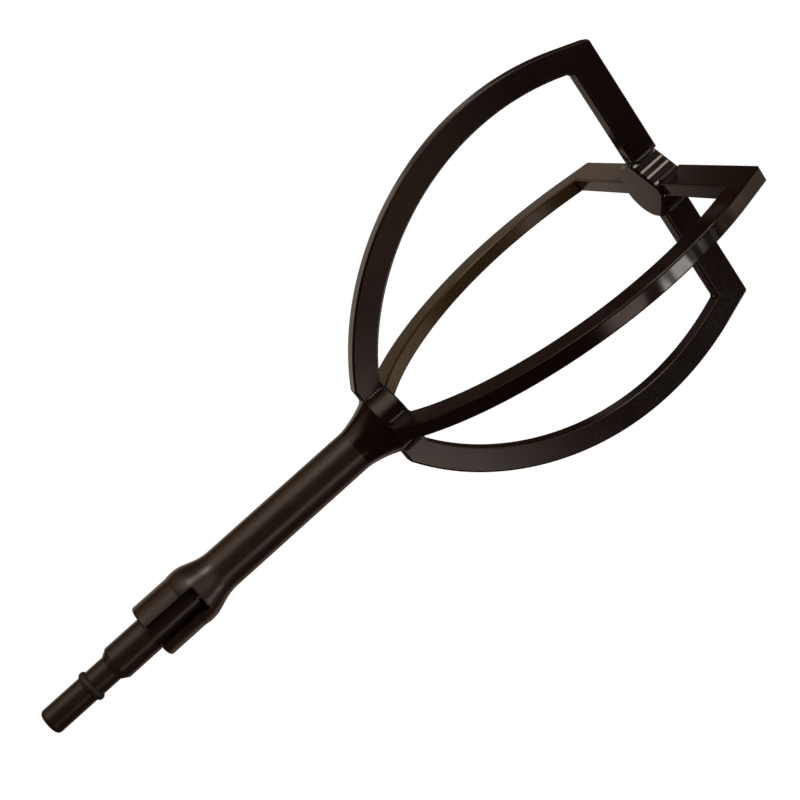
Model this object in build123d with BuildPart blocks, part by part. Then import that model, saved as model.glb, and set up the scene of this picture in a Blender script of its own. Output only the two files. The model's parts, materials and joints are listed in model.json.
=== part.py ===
"""Mortar mixing paddle: a plug-in drive spindle and dog sleeve, a shaft, and a welded four-bow cage.

Millimetres. +Z points up, from the flat end of the cage to the tip of the spindle. The origin is
the centre of the flat end, on which the paddle stands.
"""
import os
from math import cos, hypot, radians, sin, sqrt

from build123d import *

os.makedirs("parts", exist_ok=True)

# ---- Driving dimensions: cage ------------------------------------------------------------------
BOWS = 4
BAR_THICKNESS = 6.0          # tangential thickness of bows and arms
BOW_WIDTH = 9.8              # width of a bow in its radial plane
ARM_HEIGHT = 11.8            # height of an arm along the axis
BAR_EDGE_RADIUS = 0.7        # rolled edges of the flat bar

BOSS_RADIUS = 12.4           # round block that joins the four arms
BOSS_FLATS = (45, 135)       # directions its two flats face, on either side of the +Y arm
BOSS_FLAT_OFFSET = 10.2      # distance of a flat from the axis
BOSS_BOTTOM = 1.0            # set back a little from the flat end
BOSS_TOP = 13.4
BOSS_CHAMFER = 0.8

HUB_RADIUS = 12.3            # drum that carries the four bows
HUB_BOTTOM = 137.7
HUB_TOP = 147.5
HUB_CHAMFER = 0.6
NECK_TOP = 160.6             # top of the flared neck above the drum
NECK_MIDDLE = (9.3, 154.3)   # where the neck's hollow curve passes
NECK_INSET = 0.4             # narrow ledge where the neck stands on the drum

FOOT_REACH = 16.2            # radius at which a bow turns down from its foot
BOW_ROOT_Z = 142.6           # height of the bow's centre line at the foot
BOW_ROOT_SLOPE = 30.9        # degrees below horizontal where the bow leaves the foot
BOW_ROOT_PULL = 41.9         # how far the root tangent carries
BOW_TIP_RADIUS = 56.7        # centre line at the corner
BOW_TIP_SLOPE = 19.2         # degrees from the axis where the bow meets the arm
BOW_TIP_STRAIGHT = 9.0       # straight end of the bow above the corner
BOW_TIP_PULL = 57.6          # how far the tip tangent carries above the straight end
CORNER_BLUNT = 0.6           # outer corner taken off square to the mitre

# ---- Driving dimensions: shaft and coupling ----------------------------------------------------
SHAFT_RADIUS = 8.0
SHAFT_TOP = 224.0
HUB_SPIGOT_RADIUS = 6.0      # turned end of the shaft inside the hub
HUB_SPIGOT_END = 141.0

SLEEVE_RADIUS = 10.8         # two-jaw dog sleeve
SLEEVE_TOP = 256.6
SLEEVE_SHOULDER_Z = 237.6    # widest ring of the sleeve, beside the closed end of the slot
SLEEVE_SHOULDER_RADIUS = 11.1
SHOULDER_ROUND_ABOVE = 3.4   # how far the shoulder's rounding reaches up and down
SHOULDER_ROUND_BELOW = 3.0
FLARE_SHOULDER_RADIUS = 10.7 # where the flare leaves the shoulder
FLARE_UPPER_PULL = (9.6, 231.0)
FLARE_LOWER_PULL = (8.1, 228.4)
SLEEVE_BORE_END = 233.0
SLEEVE_BORE_RADIUS = 6.2     # the spindle's seat, a step under the journal
SLOT_WIDTH = 10.2
SLOT_END_Z = 235.2           # closed end, cut square
SLOT_CORNER_RADIUS = 0.8
SLOT_CLOCK = 98.0            # direction in which the slot opens, degrees from +X
SLEEVE_RIM_CHAMFER = 0.5

JOURNAL_RADIUS = 6.7
SEAT_BOTTOM = 236.8          # foot of the spindle's seat, inside the sleeve
SEAT_TOP = 257.1             # relief: the seat ends a little above the sleeve's rim
JOURNAL_TOP = 272.2
SHOULDER_TOP = 275.0         # conical shoulder between journal and pilot pin
PILOT_RADIUS = 5.0
TAIL_BOTTOM = 204.0          # tail pressed into the shaft
SPINDLE_TIP = 302.9
PILOT_END_RADIUS = 1.5

RING_Z = 284.0               # retaining ring on the pilot pin
RING_SECTION = 3.0
RING_OUTER_RADIUS = 6.0

# ---- Driving dimensions: welds -----------------------------------------------------------------
SIDE_BEAD_LEG = 1.8          # bead along each side of a bar where it meets the hub or the boss
CORNER_BEAD_LEG = 2.2        # bead in the inner corner between bow and arm
CORNER_BEAD_THROAT = 0.7     # its height over the mitre line

CUT_MARGIN = 1.0             # how far a cutting shape runs past the piece it cuts

# ---- Worked-out geometry -----------------------------------------------------------------------
ARM_MID_Z = ARM_HEIGHT / 2
HALF_BAR = BAR_THICKNESS / 2
BAR_FLAT = BAR_THICKNESS - 2 * BAR_EDGE_RADIUS
BOW_ROOT = (FOOT_REACH, BOW_ROOT_Z)
ROOT_DIRECTION = (cos(radians(BOW_ROOT_SLOPE)), -sin(radians(BOW_ROOT_SLOPE)))
BOW_TIP = (BOW_TIP_RADIUS, ARM_MID_Z)
TIP_DIRECTION = (-sin(radians(BOW_TIP_SLOPE)), -cos(radians(BOW_TIP_SLOPE)))
TIP_OUTWARD = (cos(radians(BOW_TIP_SLOPE)), -sin(radians(BOW_TIP_SLOPE)))


def along(start, direction, distance):
    """Point at a distance from a start point, in the radial plane."""
    return (start[0] + direction[0] * distance, start[1] + direction[1] * distance)


def edge_at_height(side, height):
    """Where the bow's outer (+1) or inner (-1) edge line at its tip crosses a height."""
    start = along(BOW_TIP, TIP_OUTWARD, side * BOW_WIDTH / 2)
    return along(start, TIP_DIRECTION, (start[1] - height) / -TIP_DIRECTION[1])


CORNER_OUTER = edge_at_height(1, 0)
CORNER_INNER = edge_at_height(-1, ARM_HEIGHT)
MITRE_LENGTH = hypot(CORNER_OUTER[0] - CORNER_INNER[0], CORNER_OUTER[1] - CORNER_INNER[1])
MITRE_DIRECTION = (
    (CORNER_OUTER[0] - CORNER_INNER[0]) / MITRE_LENGTH,
    (CORNER_OUTER[1] - CORNER_INNER[1]) / MITRE_LENGTH,
)
ARM_SIDE = (MITRE_DIRECTION[1], -MITRE_DIRECTION[0])   # square to the mitre, towards the arm


def radial_plane(angle):
    """Plane through the axis: local X is the radial direction, local Y is +Z."""
    outward = (cos(radians(angle)), sin(radians(angle)), 0)
    return Plane(origin=(0, 0, 0), x_dir=outward, z_dir=(outward[1], -outward[0], 0))


def cut_plane(radial, point, normal):
    """Plane square to a radial plane, through a point and with a normal given in that plane."""
    origin = radial.from_local_coords(Vector(*point, 0))
    tip = radial.from_local_coords(Vector(point[0] + normal[0], point[1] + normal[1], 0))
    return Plane(origin=origin, x_dir=radial.z_dir, z_dir=tip - origin)


def finish(part, name):
    part.label = name
    export_step(part, f"parts/{name}.step")
    print(f"{name:18s} {part.volume:10.1f} mm3  solids {len(part.solids())}")


# ---- Drive spindle: pilot pin, ring groove, shoulder, journal and tail ------------------------
RING_MID_RADIUS = RING_OUTER_RADIUS - RING_SECTION / 2
with BuildPart() as drive_spindle:
    with BuildSketch(Plane.XZ):
        with BuildLine():
            Polyline(
                (0, TAIL_BOTTOM),
                (PILOT_RADIUS, TAIL_BOTTOM),
                (PILOT_RADIUS, SEAT_BOTTOM),
                (SLEEVE_BORE_RADIUS, SEAT_BOTTOM),
                (SLEEVE_BORE_RADIUS, SEAT_TOP),
                (JOURNAL_RADIUS, SEAT_TOP),
                (JOURNAL_RADIUS, JOURNAL_TOP),
                (PILOT_RADIUS, SHOULDER_TOP),
                (PILOT_RADIUS, SPINDLE_TIP),
                (0, SPINDLE_TIP),
                close=True,
            )
        make_face()
        with Locations((RING_MID_RADIUS, RING_Z)):
            Circle(RING_SECTION / 2, mode=Mode.SUBTRACT)
        with Locations((RING_MID_RADIUS + RING_SECTION / 2, RING_Z)):
            Rectangle(RING_SECTION, RING_SECTION, mode=Mode.SUBTRACT)
    revolve(axis=Axis.Z)
    fillet(drive_spindle.edges().filter_by(GeomType.CIRCLE).sort_by(Axis.Z)[-1], PILOT_END_RADIUS)
finish(drive_spindle.part, "drive_spindle")

# ---- Retaining ring in the groove of the pilot pin --------------------------------------------
with BuildPart() as retaining_ring:
    with BuildSketch(Plane.XZ):
        with Locations((RING_MID_RADIUS, RING_Z)):
            Circle(RING_SECTION / 2)
    revolve(axis=Axis.Z)
finish(retaining_ring.part, "retaining_ring")

# ---- Dog sleeve: bored body with a cross slot that leaves two jaws, and a flare to the shaft ---
SLEEVE_BODY_END = SLEEVE_SHOULDER_Z + SHOULDER_ROUND_ABOVE
FLARE_START = (FLARE_SHOULDER_RADIUS, SLEEVE_SHOULDER_Z - SHOULDER_ROUND_BELOW)
SLOT_CUT_LENGTH = SLEEVE_TOP + CUT_MARGIN - SLOT_END_Z
SLOT_PLANE = radial_plane(SLOT_CLOCK - 90)      # square to the way the slot opens
with BuildPart() as dog_sleeve:
    with BuildSketch(Plane.XZ):
        with BuildLine():
            Polyline(
                (PILOT_RADIUS, SHAFT_TOP),
                (PILOT_RADIUS, SLEEVE_BORE_END),
                (SLEEVE_BORE_RADIUS, SLEEVE_BORE_END),
                (SLEEVE_BORE_RADIUS, SLEEVE_TOP),
                (SLEEVE_RADIUS, SLEEVE_TOP),
                (SLEEVE_RADIUS, SLEEVE_BODY_END),
            )
            ThreePointArc(
                (SLEEVE_RADIUS, SLEEVE_BODY_END),
                (SLEEVE_SHOULDER_RADIUS, SLEEVE_SHOULDER_Z),
                FLARE_START,
            )
            Bezier(
                FLARE_START,
                FLARE_UPPER_PULL,
                FLARE_LOWER_PULL,
                (SHAFT_RADIUS, SHAFT_TOP),
            )
            Line((SHAFT_RADIUS, SHAFT_TOP), (PILOT_RADIUS, SHAFT_TOP))
        make_face()
    revolve(axis=Axis.Z)
    rim = dog_sleeve.faces().sort_by(Axis.Z)[-1].outer_wire().edges()
    chamfer(rim, SLEEVE_RIM_CHAMFER)
    # the slot, open at the rim and square at its closed end, through both walls
    with BuildSketch(SLOT_PLANE):
        with Locations((0, SLOT_END_Z + SLOT_CUT_LENGTH / 2)):
            RectangleRounded(SLOT_WIDTH, SLOT_CUT_LENGTH, SLOT_CORNER_RADIUS)
    extrude(amount=2 * SLEEVE_RADIUS, both=True, mode=Mode.SUBTRACT)
finish(dog_sleeve.part, "dog_sleeve")

# ---- Shaft: round bar with a blind hole for the tail and a spigot for the hub ------------------
with BuildPart() as shaft:
    with BuildSketch(Plane.XZ):
        with BuildLine():
            Polyline(
                (0, HUB_SPIGOT_END),
                (HUB_SPIGOT_RADIUS, HUB_SPIGOT_END),
                (HUB_SPIGOT_RADIUS, NECK_TOP),
                (SHAFT_RADIUS, NECK_TOP),
                (SHAFT_RADIUS, SHAFT_TOP),
                (PILOT_RADIUS, SHAFT_TOP),
                (PILOT_RADIUS, TAIL_BOTTOM),
                (0, TAIL_BOTTOM),
                close=True,
            )
        make_face()
    revolve(axis=Axis.Z)
finish(shaft.part, "shaft")

# ---- Hub: flared neck on a drum, bored for the shaft's spigot ----------------------------------
NECK_BOTTOM_RADIUS = HUB_RADIUS - NECK_INSET
with BuildPart() as hub:
    with BuildSketch(Plane.XZ):
        with BuildLine():
            Polyline(
                (SHAFT_RADIUS, NECK_TOP),
                (HUB_SPIGOT_RADIUS, NECK_TOP),
                (HUB_SPIGOT_RADIUS, HUB_SPIGOT_END),
                (0, HUB_SPIGOT_END),
                (0, HUB_BOTTOM),
                (HUB_RADIUS, HUB_BOTTOM),
                (HUB_RADIUS, HUB_TOP),
                (NECK_BOTTOM_RADIUS, HUB_TOP),
            )
            ThreePointArc((NECK_BOTTOM_RADIUS, HUB_TOP), NECK_MIDDLE, (SHAFT_RADIUS, NECK_TOP))
        make_face()
    revolve(axis=Axis.Z)
    chamfer(hub.edges().filter_by(GeomType.CIRCLE).sort_by(Axis.Z)[0], HUB_CHAMFER)
finish(hub.part, "hub")

# ---- End boss: the block in the middle of the flat end -----------------------------------------
with BuildSketch(Plane.XY) as boss_outline:
    Circle(BOSS_RADIUS)
    for direction in BOSS_FLATS:
        with PolarLocations(BOSS_FLAT_OFFSET, 1, start_angle=direction):
            Rectangle(BOSS_RADIUS, 2 * BOSS_RADIUS, align=(Align.MIN, Align.CENTER), mode=Mode.SUBTRACT)
with BuildPart() as end_boss:
    with BuildSketch(Plane.XY.offset(BOSS_BOTTOM)):
        add(boss_outline.sketch)
    extrude(amount=BOSS_TOP - BOSS_BOTTOM)
    chamfer(end_boss.faces().sort_by(Axis.Z)[-1].edges(), BOSS_CHAMFER)
    chamfer(end_boss.faces().sort_by(Axis.Z)[0].edges(), BOSS_CHAMFER)
finish(end_boss.part, "end_boss")


# ---- Bow: a short level foot on the hub, then one long curve down to the mitred corner ---------
def corner_planes(radial):
    """The mitre between bow and arm, and the small flat that blunts its outer corner."""
    mitre = cut_plane(radial, CORNER_INNER, ARM_SIDE)
    blunt = cut_plane(radial, along(CORNER_OUTER, MITRE_DIRECTION, -CORNER_BLUNT), MITRE_DIRECTION)
    return mitre, blunt


def make_bow(radial):
    foot_mitre = cut_plane(radial, BOW_ROOT, (1 + ROOT_DIRECTION[0], ROOT_DIRECTION[1]))
    mitre, blunt = corner_planes(radial)
    curve_end = along(BOW_TIP, TIP_DIRECTION, -BOW_TIP_STRAIGHT)
    with BuildPart() as bow:
        with BuildLine(radial) as centre_line:
            Line(along(BOW_ROOT, ROOT_DIRECTION, -BOW_WIDTH), BOW_ROOT)
            Bezier(
                BOW_ROOT,
                along(BOW_ROOT, ROOT_DIRECTION, BOW_ROOT_PULL),
                along(curve_end, TIP_DIRECTION, -BOW_TIP_PULL),
                curve_end,
            )
            Line(curve_end, along(BOW_TIP, TIP_DIRECTION, BOW_WIDTH))
        path = centre_line.wire()
        with BuildSketch(Plane(origin=path @ 0, x_dir=radial.z_dir, z_dir=path % 0)):
            RectangleRounded(BAR_THICKNESS, BOW_WIDTH, BAR_EDGE_RADIUS)
        sweep(path=path)
        split(bisect_by=foot_mitre, keep=Keep.TOP)
        split(bisect_by=mitre, keep=Keep.BOTTOM)
        split(bisect_by=blunt, keep=Keep.BOTTOM)
        foot_start = radial.from_local_coords(Vector(0, BOW_ROOT_Z, 0))
        with BuildPart(mode=Mode.PRIVATE) as foot:
            with BuildSketch(Plane(origin=foot_start, x_dir=radial.z_dir, z_dir=radial.x_dir)):
                RectangleRounded(BAR_THICKNESS, BOW_WIDTH, BAR_EDGE_RADIUS)
            extrude(amount=FOOT_REACH + BOW_WIDTH)
            split(bisect_by=foot_mitre, keep=Keep.BOTTOM)
            with BuildSketch(Plane.XY.offset(HUB_BOTTOM - CUT_MARGIN)):
                Circle(HUB_RADIUS)
            extrude(amount=HUB_TOP - HUB_BOTTOM + 2 * CUT_MARGIN, mode=Mode.SUBTRACT)
        add(foot.part)
    return bow.part


# ---- Arm: straight bar on edge from the boss out to the mitre ----------------------------------
def make_arm(radial):
    mitre, blunt = corner_planes(radial)
    arm_start = radial.from_local_coords(Vector(0, ARM_HEIGHT / 2, 0))
    with BuildPart() as arm:
        with BuildSketch(Plane(origin=arm_start, x_dir=radial.z_dir, z_dir=radial.x_dir)):
            RectangleRounded(BAR_THICKNESS, ARM_HEIGHT, BAR_EDGE_RADIUS)
        extrude(amount=CORNER_OUTER[0] + BAR_THICKNESS)
        split(bisect_by=mitre, keep=Keep.TOP)
        split(bisect_by=blunt, keep=Keep.BOTTOM)
        with BuildSketch(Plane.XY):
            add(boss_outline.sketch)
        extrude(amount=ARM_HEIGHT, mode=Mode.SUBTRACT)
    return arm.part


# ---- Weld beads --------------------------------------------------------------------------------
with BuildSketch(Plane.XY) as hub_outline:
    Circle(HUB_RADIUS)
HUB_BEAD_ROOT = sqrt(HUB_RADIUS**2 - HALF_BAR**2)


def boss_bead_root(direction):
    """Radius at which an arm's side meets the boss, where that side looks in a direction."""
    if direction % 360 in BOSS_FLATS:
        return BOSS_FLAT_OFFSET * sqrt(2) - HALF_BAR
    return sqrt(BOSS_RADIUS**2 - HALF_BAR**2)


def make_side_beads(angle, roots, outline, bottom, top):
    """Two upright beads in the corners between a bar's sides and the block it stands on."""
    with BuildPart() as beads:
        with BuildSketch(Plane.XY.offset(bottom).rotated((0, 0, angle))):
            for side, root in zip((-1, 1), roots):
                with BuildLine():
                    Polyline(
                        (root + SIDE_BEAD_LEG, side * HALF_BAR),
                        (root - SIDE_BEAD_LEG, side * HALF_BAR),
                        (root - SIDE_BEAD_LEG / 2, side * (HALF_BAR + SIDE_BEAD_LEG)),
                        close=True,
                    )
                make_face()
        extrude(amount=top - bottom)
        with BuildSketch(Plane.XY.offset(bottom)):
            add(outline)
        extrude(amount=top - bottom, mode=Mode.SUBTRACT)
    return beads.part


def make_corner_bead(radial, bow, arm):
    """Bead across the inner corner of the mitre."""
    up_bow = along(CORNER_INNER, TIP_DIRECTION, -CORNER_BEAD_LEG)
    down_arm = (CORNER_INNER[0] - CORNER_BEAD_LEG, CORNER_INNER[1])
    buried = along(CORNER_INNER, MITRE_DIRECTION, CORNER_BEAD_THROAT)
    hollow = along(CORNER_INNER, MITRE_DIRECTION, -CORNER_BEAD_THROAT)
    with BuildPart() as bead:
        with BuildSketch(radial):
            with BuildLine():
                ThreePointArc(up_bow, hollow, down_arm)
                Polyline(down_arm, buried, up_bow)
            make_face()
        extrude(amount=BAR_FLAT / 2, both=True)
        add(bow, mode=Mode.SUBTRACT)
        add(arm, mode=Mode.SUBTRACT)
    return bead.part


for number in range(1, BOWS + 1):
    bow_angle = (number - 1) * 360 / BOWS
    bow_plane = radial_plane(bow_angle)
    bow_part = make_bow(bow_plane)
    arm_part = make_arm(bow_plane)
    foot_roots = (HUB_BEAD_ROOT, HUB_BEAD_ROOT)
    foot_bottom = HUB_BOTTOM + BAR_EDGE_RADIUS
    foot_top = HUB_TOP - BAR_EDGE_RADIUS
    foot_beads = make_side_beads(bow_angle, foot_roots, hub_outline.sketch, foot_bottom, foot_top)
    arm_roots = (boss_bead_root(bow_angle - 45), boss_bead_root(bow_angle + 45))
    arm_bottom = BOSS_BOTTOM + BOSS_CHAMFER
    arm_top = ARM_HEIGHT - BAR_EDGE_RADIUS
    arm_beads = make_side_beads(bow_angle, arm_roots, boss_outline.sketch, arm_bottom, arm_top)
    finish(bow_part, f"bow_{number}")
    finish(arm_part, f"arm_{number}")
    finish(foot_beads, f"foot_weld_{number}")
    finish(arm_beads, f"arm_weld_{number}")
    finish(make_corner_bead(bow_plane, bow_part, arm_part), f"corner_weld_{number}")
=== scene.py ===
"""Looks for the mortar mixing paddle: materials, weld beads, floor, lights and camera."""
import json
from math import cos, pi, radians, sin, sqrt

import bpy
from mathutils import Matrix, Vector


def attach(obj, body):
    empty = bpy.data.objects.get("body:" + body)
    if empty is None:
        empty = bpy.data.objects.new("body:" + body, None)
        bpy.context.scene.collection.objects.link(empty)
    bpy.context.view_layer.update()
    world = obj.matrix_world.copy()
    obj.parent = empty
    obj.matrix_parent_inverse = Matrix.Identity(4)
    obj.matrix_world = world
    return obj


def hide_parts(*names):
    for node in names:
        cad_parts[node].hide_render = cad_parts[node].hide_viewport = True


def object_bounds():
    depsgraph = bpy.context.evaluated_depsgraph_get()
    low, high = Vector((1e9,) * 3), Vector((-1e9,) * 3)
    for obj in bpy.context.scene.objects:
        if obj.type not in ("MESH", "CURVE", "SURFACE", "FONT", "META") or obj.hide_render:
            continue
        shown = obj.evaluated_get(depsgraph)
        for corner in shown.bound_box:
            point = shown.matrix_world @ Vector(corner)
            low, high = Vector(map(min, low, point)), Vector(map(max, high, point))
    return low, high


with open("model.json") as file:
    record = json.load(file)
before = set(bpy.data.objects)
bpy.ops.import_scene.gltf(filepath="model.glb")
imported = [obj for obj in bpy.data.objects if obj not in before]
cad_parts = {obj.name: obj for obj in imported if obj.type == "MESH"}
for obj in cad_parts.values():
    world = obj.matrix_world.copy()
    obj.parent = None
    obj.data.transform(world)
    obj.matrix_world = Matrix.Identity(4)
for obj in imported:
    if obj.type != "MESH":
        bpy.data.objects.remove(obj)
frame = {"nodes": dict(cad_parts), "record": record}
cad_low, cad_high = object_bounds()

MM = 0.001
UP = Vector((0, 0, 1))


# ---- Node helpers ------------------------------------------------------------------------------
class Nodes:
    """Short-hand for building a node tree."""

    def __init__(self, tree):
        self.tree = tree

    def add(self, kind, **inputs):
        node = self.tree.nodes.new(kind)
        for name, value in inputs.items():
            self.feed(node.inputs[name.replace("_", " ")], value)
        return node

    def feed(self, socket, value):
        if isinstance(value, bpy.types.NodeSocket):
            self.tree.links.new(value, socket)
        else:
            socket.default_value = value

    def math(self, operation, a, b=0.0):
        node = self.tree.nodes.new("ShaderNodeMath")
        node.operation = operation
        self.feed(node.inputs[0], a)
        self.feed(node.inputs[1], b)
        return node.outputs[0]

    def remap(self, value, from_low, from_high, to_low, to_high):
        node = self.add("ShaderNodeMapRange", Value=value)
        limits = zip(("From Min", "From Max", "To Min", "To Max"), (from_low, from_high, to_low, to_high))
        for name, limit in limits:
            node.inputs[name].default_value = limit
        return node.outputs[0]

    def blend(self, factor, a, b):
        node = self.tree.nodes.new("ShaderNodeMix")
        node.data_type = "RGBA"
        self.feed(node.inputs[0], factor)
        self.feed(node.inputs[6], a)
        self.feed(node.inputs[7], b)
        return node.outputs[2]

    def noise(self, vector, scale, detail=3.0, roughness=0.5):
        node = self.add("ShaderNodeTexNoise", Vector=vector, Scale=scale, Detail=detail)
        node.inputs["Roughness"].default_value = roughness
        return node.outputs["Fac"]

    def bump(self, height, strength, distance, normal=None):
        node = self.add("ShaderNodeBump", Height=height, Strength=strength, Distance=distance)
        if normal is not None:
            self.feed(node.inputs["Normal"], normal)
        return node.outputs["Normal"]

    def stretched(self, vector, scale):
        node = self.add("ShaderNodeMapping", Vector=vector)
        node.inputs["Scale"].default_value = scale
        return node.outputs["Vector"]

    def along_axis(self, vector, axis):
        parts = self.add("ShaderNodeSeparateXYZ", Vector=vector)
        return parts.outputs[axis]

    def step(self, value, start, end):
        node = self.add("ShaderNodeMapRange", Value=value)
        node.interpolation_type = "SMOOTHSTEP"
        node.inputs["From Min"].default_value = start
        node.inputs["From Max"].default_value = end
        return node.outputs[0]


def new_material(name):
    material = bpy.data.materials.new(name)
    material.use_nodes = True
    material.node_tree.nodes.clear()
    nodes = Nodes(material.node_tree)
    shader = nodes.add("ShaderNodeBsdfPrincipled")
    output = nodes.add("ShaderNodeOutputMaterial")
    material.node_tree.links.new(shader.outputs[0], output.inputs[0])
    position = nodes.add("ShaderNodeTexCoord").outputs["Object"]
    return material, nodes, shader, position


# ---- Materials ---------------------------------------------------------------------------------
def coating(name, dark, brown, rough_low, rough_high, peel_height, grain_scale, grain):
    """Dark brown-black coating: cloudy tint, patchy gloss, a little orange peel and fine marks."""
    material, nodes, shader, position = new_material(name)
    clouds = nodes.noise(position, 38.0, 4.0, 0.6)
    speckle = nodes.noise(position, 900.0, 2.0)
    tint = nodes.remap(nodes.math("MULTIPLY", clouds, speckle), 0.16, 0.36, 0.0, 1.0)
    colour = nodes.blend(tint, (*dark, 1), (*brown, 1))
    rough = nodes.noise(position, 60.0, 5.0, 0.65)
    nodes.feed(shader.inputs["Roughness"], nodes.remap(rough, 0.3, 0.7, rough_low, rough_high))
    peel = nodes.bump(nodes.noise(position, 240.0, 2.0, 0.4), 1.0, peel_height * MM)
    grained = nodes.stretched(position, grain_scale)
    marks = nodes.bump(nodes.noise(grained, 1.0, 4.0, 0.6), grain, 0.02 * MM, peel)
    return material, nodes, shader, position, colour, marks


def plain_coating(*settings):
    material, nodes, shader, position, colour, marks = coating(*settings)
    nodes.feed(shader.inputs["Base Color"], colour)
    nodes.feed(shader.inputs["Normal"], marks)
    return material


def between(nodes, value, rising, falling):
    """One between two soft edges, zero outside them; each edge is a pair of places."""
    return nodes.math("MULTIPLY", nodes.step(value, *rising), nodes.step(value, *falling))


def cage_coating():
    """The cage's coating: a painted olive sheen (painted light) on the bow at -Y, marks on the bow at +Y
    and on the boss.
    """
    material, nodes, shader, position, colour, marks = coating(
        "cage_coating", BLACK, BROWN, 0.14, 0.20, 0.0025, ALONG_BAR, 0.12
    )
    x = nodes.along_axis(position, "X")
    y = nodes.along_axis(position, "Y")
    z = nodes.along_axis(position, "Z")
    # Painted sheen: the bow at -Y is tinted lighter olive to stand in for the light it catches; noise
    # varies how strong it is.
    sheen_side = nodes.step(y, *SHEEN_EDGE)
    sheen_patches = nodes.remap(nodes.noise(position, 24.0, 3.0), 0.3, 0.7, 0.75, 1.0)
    sheened = nodes.blend(nodes.math("MULTIPLY", sheen_side, sheen_patches), colour, (*OLIVE_SHEEN, 1))
    nodes.feed(shader.inputs["Base Color"], sheened)

    on_bow = nodes.math("MULTIPLY", nodes.step(y, *BENT_OUTWARD), between(nodes, z, *BENT_HEIGHTS))
    twisted = nodes.math("MULTIPLY", x, -TWIST)
    dents = nodes.noise(nodes.stretched(position, DENT_SCALE), 1.0, 1.0)
    height = nodes.math("ADD", twisted, nodes.math("MULTIPLY", dents, DENT_DEPTH))
    height = nodes.math("MULTIPLY", height, on_bow)

    on_flat = between(nodes, nodes.math("SUBTRACT", y, x), *FLAT_EDGES)
    on_flat = nodes.math("MULTIPLY", on_flat, nodes.step(z, *FLAT_TOP))
    along_flat = nodes.math("ADD", x, y)
    ridges = nodes.math("SINE", nodes.math("MULTIPLY", along_flat, 2 * pi / RIDGE_SPACING))
    ridges = nodes.math("MULTIPLY", nodes.math("MULTIPLY", ridges, RIDGE_HEIGHT), on_flat)
    height = nodes.math("ADD", height, ridges)
    nodes.feed(shader.inputs["Normal"], nodes.bump(height, 1.0, 1.0, marks))
    return material


def rubber(name):
    material, nodes, shader, position = new_material(name)
    dust = nodes.remap(nodes.noise(position, 300.0, 4.0, 0.6), 0.35, 0.75, 0.0, 1.0)
    shade = nodes.blend(dust, (0.012, 0.011, 0.010, 1), (0.03, 0.027, 0.024, 1))
    nodes.feed(shader.inputs["Base Color"], shade)
    nodes.feed(shader.inputs["Roughness"], nodes.remap(dust, 0.0, 1.0, 0.5, 0.68))
    nodes.feed(shader.inputs["Normal"], nodes.bump(nodes.noise(position, 1500.0, 3.0), 0.5, 0.05 * MM))
    return material


ALONG_BAR = (260.0, 260.0, 26.0)      # noise stretched along the axis: rolling marks
AROUND = (18.0, 18.0, 2400.0)         # noise squeezed along the axis: turning marks
EVEN = (500.0, 500.0, 500.0)
BLACK = (0.0075, 0.0026, 0.0020)
BROWN = (0.0120, 0.0055, 0.0042)
# colour of the painted sheen on the lit bow at -Y
OLIVE_SHEEN = (0.0620, 0.0420, 0.0190)
SHAFT_DARK = (0.0180, 0.0105, 0.0080)
SHAFT_BROWN = (0.0290, 0.0180, 0.0120)
SHEEN_EDGE = (-0.012, -0.030)          # the painted olive sheen starts and is full at these Y, metres
BENT_OUTWARD = (0.040, 0.055)         # Y where the dented stretch of the bow at +Y begins
BENT_HEIGHTS = ((0.012, 0.022), (0.074, 0.060))
TWIST = 0.14                          # slope of that stretch
DENT_DEPTH = 1.1 * MM                 # full range of the noise that dents it
DENT_SCALE = (45.0, 30.0, 95.0)
FLAT_EDGES = ((0.0128, 0.0138), (0.0160, 0.0150))    # Y - X on either side of the boss's flat
FLAT_TOP = (0.0145, 0.0135)
RIDGE_SPACING = 10.0 * MM             # of the upright ridges on that flat, measured as X + Y
RIDGE_HEIGHT = 0.28 * MM

MATERIALS = {
    "cage_coating": cage_coating(),
    "shaft_coating": plain_coating(
        "shaft_coating", SHAFT_DARK, SHAFT_BROWN, 0.27, 0.36, 0.010, ALONG_BAR, 0.3
    ),
    "coupling_steel": plain_coating(
        "coupling_steel", SHAFT_DARK, SHAFT_BROWN, 0.25, 0.35, 0.006, AROUND, 0.3
    ),
    "weld_bead": plain_coating("weld_bead", BLACK, BROWN, 0.20, 0.32, 0.02, EVEN, 0.6),
    "ring_rubber": rubber("ring_rubber"),
}
SLOT_OF_NODE = {row["node"]: row["material_slot"] for row in frame["record"]["subparts"]}

for node_name, node_object in frame["nodes"].items():
    material = MATERIALS[SLOT_OF_NODE[node_name]]
    for index in range(len(node_object.material_slots)):
        node_object.material_slots[index].material = material

# ---- Weld beads --------------------------------------------------------------------------------
HUB_RADIUS = 12.3                     # millimetres, as the CAD's driving dimensions
BOSS_RADIUS = 12.4
BOSS_FLATS = (45, 135)                # directions its two flats face
BOSS_FLAT_OFFSET = 10.2
HALF_BAR = 3.0
FOOT_BEAD = (138.6, 146.6)            # lowest and highest end of a bead on the hub
ARM_BEAD = (1.9, 11.0)                # and on the boss
CORNER = (53.5, 11.8)                 # inner corner between bow and arm: radius, height
CORNER_HALF = 2.6
RIPPLE = 1.25                         # spacing of the ripples
RIPPLE_DEPTH = 0.16                   # share of the radius lost between ripples
FOOT_RADIUS = 1.15
ARM_RADIUS = 1.1
CORNER_RADIUS = 0.9
BEAD_RINGS = 30                       # steps along a bead and round it
BEAD_SIDES = 14
TIP_SHARE = 0.05                      # of the radius left at a bead's very end


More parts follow.
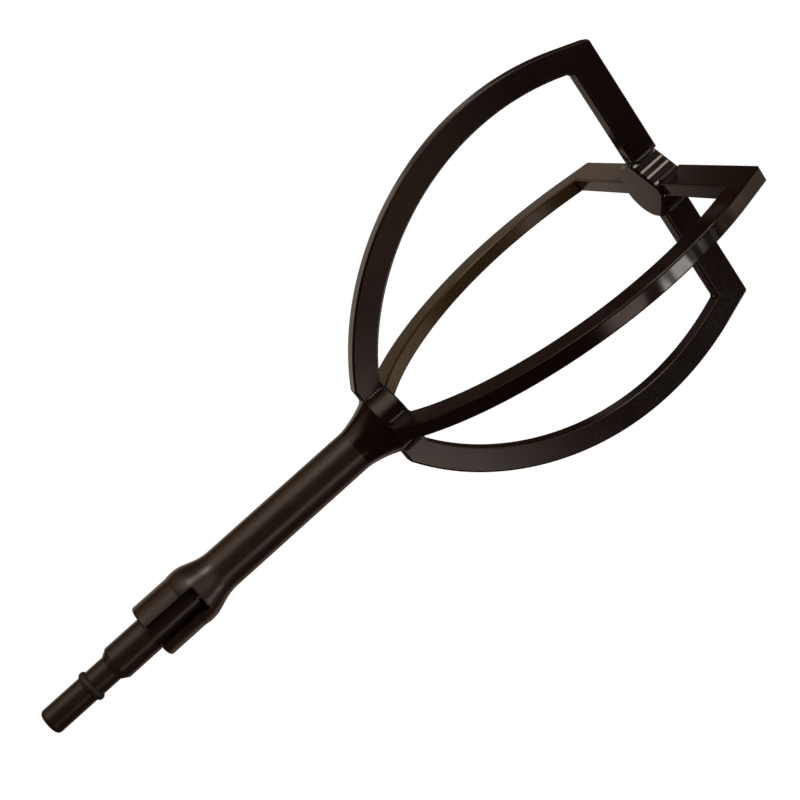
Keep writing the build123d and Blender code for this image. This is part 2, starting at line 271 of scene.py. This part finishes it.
def bead_points(start, end, radius):
    """Rings of a round-ended bead from start to end, swollen a little at each ripple."""
    start = Vector(start)
    end = Vector(end)
    axis = (end - start).normalized()
    length = (end - start).length
    across = axis.orthogonal().normalized()
    other = axis.cross(across)
    for ring in range(BEAD_RINGS + 1):
        place = length * ring / BEAD_RINGS
        from_end = min(place, length - place)
        cap = sqrt(max(0.0, 1.0 - max(0.0, 1.0 - from_end / radius) ** 2))
        swell = 1.0 - RIPPLE_DEPTH + RIPPLE_DEPTH * abs(cos(pi * place / RIPPLE))
        size = radius * swell * max(cap, TIP_SHARE)
        middle = start + axis * place
        for side in range(BEAD_SIDES):
            turn = 2 * pi * side / BEAD_SIDES
            yield (middle + (across * cos(turn) + other * sin(turn)) * size) * MM


def bead_faces(base):
    """Faces of one bead whose points start at index base: two ends and the skin between."""
    sides = range(BEAD_SIDES)
    yield [base + side for side in reversed(sides)]
    yield [base + BEAD_RINGS * BEAD_SIDES + side for side in sides]
    for ring in range(BEAD_RINGS):
        low = base + ring * BEAD_SIDES
        high = low + BEAD_SIDES
        for side in sides:
            beside = (side + 1) % BEAD_SIDES
            yield [low + side, low + beside, high + beside, high + side]


def add_beads(name, node, lines, radius, angle):
    """One bead along each line, turned about Z, in place of a weld node."""
    points = []
    faces = []
    for start, end in lines:
        faces.extend(bead_faces(len(points)))
        points.extend(bead_points(start, end, radius))
    mesh = bpy.data.meshes.new(name)
    mesh.from_pydata([Matrix.Rotation(angle, 3, "Z") @ point for point in points], [], faces)
    mesh.shade_smooth()
    mesh.materials.append(MATERIALS["weld_bead"])
    piece = bpy.data.objects.new(name, mesh)
    bpy.context.scene.collection.objects.link(piece)
    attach(piece, "root")
    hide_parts(node)


def upright_lines(reaches, ends):
    """Upright lines on the two sides of the +X bar, each at its own reach from the axis."""
    low, high = ends
    sides = ((reach, side * HALF_BAR) for side, reach in zip((-1, 1), reaches))
    return [((reach, offset, low), (reach, offset, high)) for reach, offset in sides]


def boss_reach(direction):
    """Radius at which an arm's side meets the boss, where that side looks in a direction."""
    if direction % 360 in BOSS_FLATS:
        return BOSS_FLAT_OFFSET * sqrt(2) - HALF_BAR
    return sqrt(BOSS_RADIUS**2 - HALF_BAR**2)


def make_beads():
    hub_reach = sqrt(HUB_RADIUS**2 - HALF_BAR**2)
    foot_lines = upright_lines((hub_reach, hub_reach), FOOT_BEAD)
    out, height = CORNER
    corner_line = [((out, -CORNER_HALF, height), (out, CORNER_HALF, height))]
    for number in range(4):
        turn = 90 * number
        place = number + 1
        arm_lines = upright_lines((boss_reach(turn - 45), boss_reach(turn + 45)), ARM_BEAD)
        angle = radians(turn)
        add_beads(f"foot_bead_{place}", f"foot_weld_{place}", foot_lines, FOOT_RADIUS, angle)
        add_beads(f"arm_bead_{place}", f"arm_weld_{place}", arm_lines, ARM_RADIUS, angle)
        add_beads(f"corner_bead_{place}", f"corner_weld_{place}", corner_line, CORNER_RADIUS, angle)


make_beads()

# ---- Floor, world, lights and camera -----------------------------------------------------------
CAMERA_PLACE = Vector((-0.1681, 0.4183, 0.2014))
CAMERA_AIM = Vector((-0.0032, 0.0011, 0.1363))
CAMERA_ROLL = radians(131.82)
CAMERA_LENS = 56.09
FLOOR_HALF = 6.0                      # metres
LIGHT_HEIGHT = 2.2


def camera_axes():
    """Right, up and depth of the view, rolled about the line from camera to aim."""
    depth = (CAMERA_AIM - CAMERA_PLACE).normalized()
    level_up = (UP - depth * UP.dot(depth)).normalized()
    level_right = depth.cross(level_up)
    up = level_up * cos(CAMERA_ROLL) + level_right * sin(CAMERA_ROLL)
    return depth.cross(up), up, depth


VIEW_RIGHT, VIEW_UP, VIEW_DEPTH = camera_axes()


def make_camera():
    data = bpy.data.cameras.new("camera")
    data.lens = CAMERA_LENS
    data.sensor_width = 36
    data.clip_start = 0.01
    data.clip_end = 50
    camera = bpy.data.objects.new("camera", data)
    bpy.context.scene.collection.objects.link(camera)
    turn = Matrix((VIEW_RIGHT, VIEW_UP, -VIEW_DEPTH)).transposed()
    camera.matrix_world = Matrix.Translation(CAMERA_PLACE) @ turn.to_4x4()
    bpy.context.scene.camera = camera


def make_floor():
    """A plain white floor at the object's lowest point that leaves no mark in its gloss."""
    signs = ((-1, -1), (1, -1), (1, 1), (-1, 1))
    corners = [(x * FLOOR_HALF, y * FLOOR_HALF, cad_low.z) for x, y in signs]
    mesh = bpy.data.meshes.new("floor")
    mesh.from_pydata(corners, [], [(0, 1, 2, 3)])
    floor = bpy.data.objects.new("floor", mesh)
    bpy.context.scene.collection.objects.link(floor)
    material, nodes, shader, position = new_material("floor")
    shade = nodes.noise(position, 3.0, 2.0)
    shader.inputs["Roughness"].default_value = 0.9
    shader.inputs["Specular IOR Level"].default_value = 0.1
    pale = nodes.blend(shade, (0.10, 0.10, 0.10, 1), (0.13, 0.13, 0.13, 1))
    nodes.feed(shader.inputs["Base Color"], pale)
    nodes.feed(shader.inputs["Emission Color"], (1, 1, 1, 1))
    shader.inputs["Emission Strength"].default_value = 1.0
    mesh.materials.append(material)
    floor.visible_glossy = False
    floor.visible_diffuse = False
    floor.visible_shadow = False


# Soft panels round the object as it faces the camera: degrees to the right of the camera and above
# it, half-width, softness of the edge, and colour times brightness.
PANELS = {
    "window": (-12, 57, 10, 4, (6.5, 6.0, 5.4)),
    "window_spread": (-34, 42, 20, 10, (1.00, 0.86, 0.70)),
    "left_wall": (-72, 46, 22, 12, (0.54, 0.38, 0.24)),
    "back_panel": (-146, 8, 21, 3, (0.56, 0.46, 0.36)),
    "back_low": (-157, -15, 7, 3, (0.46, 0.38, 0.32)),
    "back_upper": (-166, 37, 4.5, 2.5, (0.36, 0.31, 0.27)),
    "back_middle": (-161, 28, 7, 2.5, (0.28, 0.23, 0.17)),
    "right_wall": (104, 20, 26, 12, (0.62, 0.47, 0.34)),
    "lamp": (70, -18, 5, 3, (8.5, 8.0, 7.4)),
    "front_low": (42, -29, 9, 3, (2.00, 1.60, 1.40)),
    "front_left": (40, -11, 5, 4, (0.45, 0.32, 0.24)),
    "right_rear": (150, -34, 14, 7, (0.50, 0.38, 0.29)),
    "right_top": (40, 28, 22, 10, (0.75, 0.60, 0.46)),
    "left_low": (-75, -8, 8, 4, (0.80, 0.70, 0.55)),
    "left_rear": (-138, 38, 6, 3, (0.14, 0.11, 0.09)),
}
ROOM = (0.035, 0.018, 0.012)


def panel_direction(right_degrees, up_degrees):
    level = cos(radians(up_degrees))
    right = VIEW_RIGHT * sin(radians(right_degrees)) * level
    towards = VIEW_DEPTH * cos(radians(right_degrees)) * level
    return right + VIEW_UP * sin(radians(up_degrees)) - towards


def make_world():
    """White to the camera; to the object, a dim warm room with soft panels of light."""
    world = bpy.data.worlds.new("studio")
    bpy.context.scene.world = world
    world.use_nodes = True
    world.node_tree.nodes.clear()
    nodes = Nodes(world.node_tree)
    direction = nodes.add("ShaderNodeTexCoord").outputs["Generated"]
    room = (*ROOM, 1)
    for right_degrees, up_degrees, half_width, softness, colour in PANELS.values():
        facing = nodes.tree.nodes.new("ShaderNodeVectorMath")
        facing.operation = "DOT_PRODUCT"
        nodes.feed(facing.inputs[0], direction)
        facing.inputs[1].default_value = panel_direction(right_degrees, up_degrees)
        away = nodes.math("ARCCOSINE", facing.outputs["Value"])
        inside = nodes.step(away, radians(half_width + softness), radians(half_width - softness))
        adding = nodes.tree.nodes.new("ShaderNodeMix")
        adding.data_type = "RGBA"
        adding.blend_type = "ADD"
        adding.clamp_result = False
        nodes.feed(adding.inputs[0], inside)
        nodes.feed(adding.inputs[6], room)
        nodes.feed(adding.inputs[7], (*colour, 1))
        room = adding.outputs[2]
    shown = nodes.add("ShaderNodeLightPath").outputs["Is Camera Ray"]
    background = nodes.add("ShaderNodeBackground", Color=nodes.blend(shown, room, (1, 1, 1, 1)))
    output = nodes.add("ShaderNodeOutputWorld")
    world.node_tree.links.new(background.outputs[0], output.inputs[0])


def make_overhead():
    """A broad soft light from above that shows in no reflection."""
    data = bpy.data.lights.new("overhead", "AREA")
    data.size = 2.5
    data.energy = 14.0
    data.color = (1.0, 0.90, 0.80)
    light = bpy.data.objects.new("overhead", data)
    bpy.context.scene.collection.objects.link(light)
    light.location = (0, 0, LIGHT_HEIGHT)
    light.visible_camera = False
    light.visible_glossy = False


make_camera()
make_floor()
make_world()
make_overhead()
bpy.context.scene.view_settings.view_transform = "Standard"
